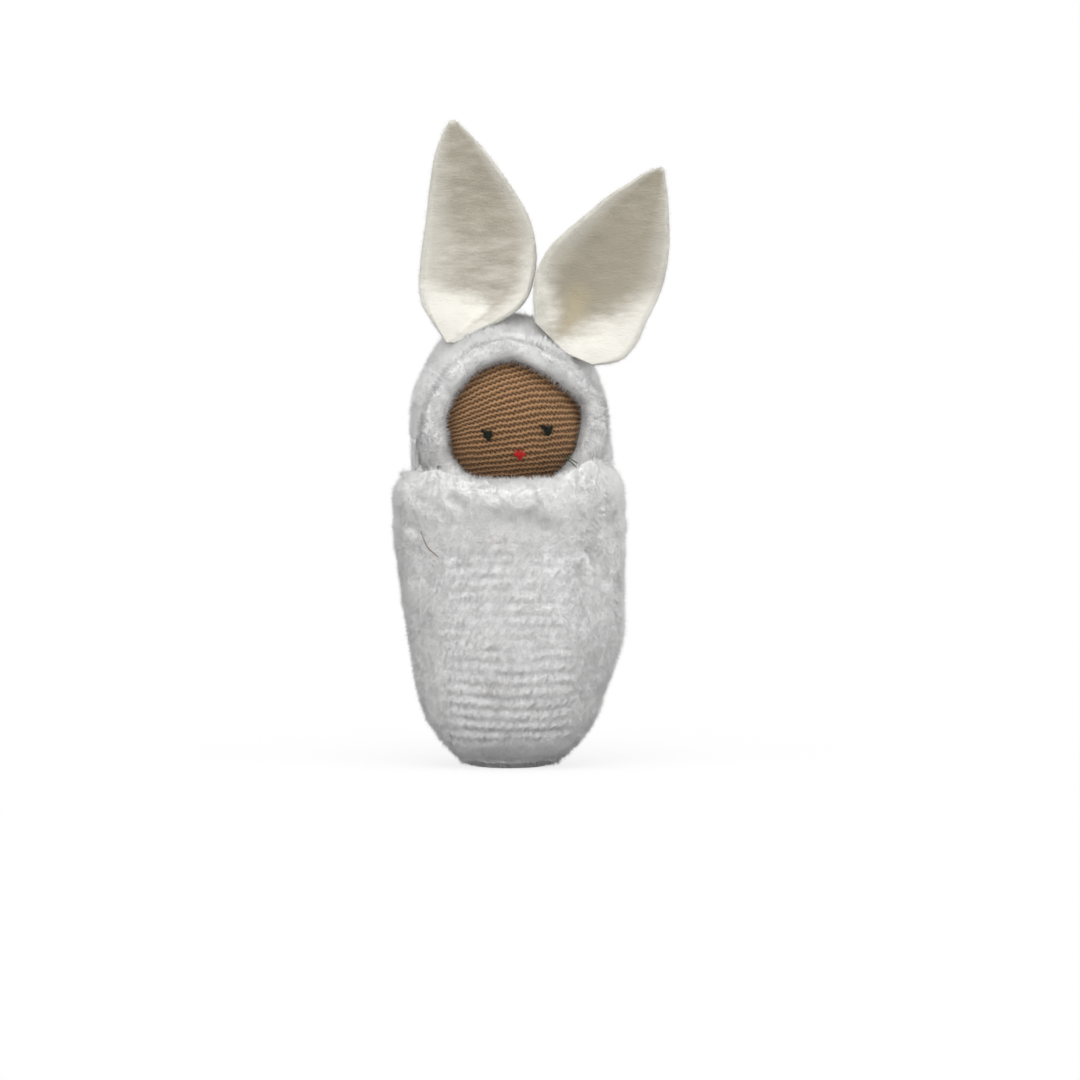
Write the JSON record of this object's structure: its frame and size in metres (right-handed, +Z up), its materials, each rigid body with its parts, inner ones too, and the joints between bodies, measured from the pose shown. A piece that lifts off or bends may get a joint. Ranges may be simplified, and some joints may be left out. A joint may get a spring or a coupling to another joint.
{
  "type": "waldorf doll",
  "caption": "Small stuffed bunting doll: white plush sack with a folded collar, brown knit face in a plush hood, stitched eyes and mouth, and two pinched felt ears that flop.",
  "frame": {"origin": "centre of the sack's flat base, on the floor", "axes": "+Z up through the head, -Y the way the face looks, +X to the right of someone who faces the doll"},
  "size_m": [0.0696, 0.0599, 0.1603],
  "materials": {
    "plush": "matte",
    "felt": "matte",
    "knit": "matte",
    "wool": "matte",
    "gauze": "matte",
    "pale_thread": "matte",
    "dark_thread": "satin",
    "red_thread": "satin"
  },
  "bodies": {
    "bunting": {"bunting_sack": "plush", "collar_fold": "plush", "collar_seam_thread": "pale_thread", "body_stuffing": "wool"},
    "neck": {"neck_roving": "wool"},
    "head": {"head_skin": "knit", "head_gauze": "gauze", "head_core": "wool", "neck_tie": "pale_thread", "eye_left": "dark_thread", "eye_right": "dark_thread", "mouth": "red_thread", "thread_end": "dark_thread", "hood": "plush", "hood_edge": "plush", "hood_edge_thread": "pale_thread", "hood_gather_thread": "pale_thread", "ear_left_tack_outer": "pale_thread", "ear_left_tack_inner": "pale_thread", "ear_right_tack_inner": "pale_thread", "ear_right_tack_outer": "pale_thread"},
    "left_ear": {"ear_left": "felt"},
    "right_ear": {"ear_right": "felt"}
  },
  "joints": [
    {"name": "head_turn", "type": "hinge", "parent": "bunting", "child": "neck", "pos_m": [0, 0, 0.087], "axis": [0, 0, 1], "range_deg": [-25, 25], "stiffness_Nm_per_rad": 0.02},
    {"name": "head_nod", "type": "hinge", "parent": "neck", "child": "head", "pos_m": [0, 0, 0.087], "axis": [1, 0, 0], "range_deg": [-8, 8], "stiffness_Nm_per_rad": 0.03},
    {"name": "ear_left_flop", "type": "hinge", "parent": "head", "child": "left_ear", "pos_m": [-0.007, -0.0125, 0.10858], "axis": [0.9378, 0.065, 0.3409], "range_deg": [-38, 38], "stiffness_Nm_per_rad": 0.003},
    {"name": "ear_right_flop", "type": "hinge", "parent": "head", "child": "right_ear", "pos_m": [0.0137, -0.014, 0.10394], "axis": [0.8648, 0.0523, -0.4993], "range_deg": [-38, 38], "stiffness_Nm_per_rad": 0.003}
  ]
}
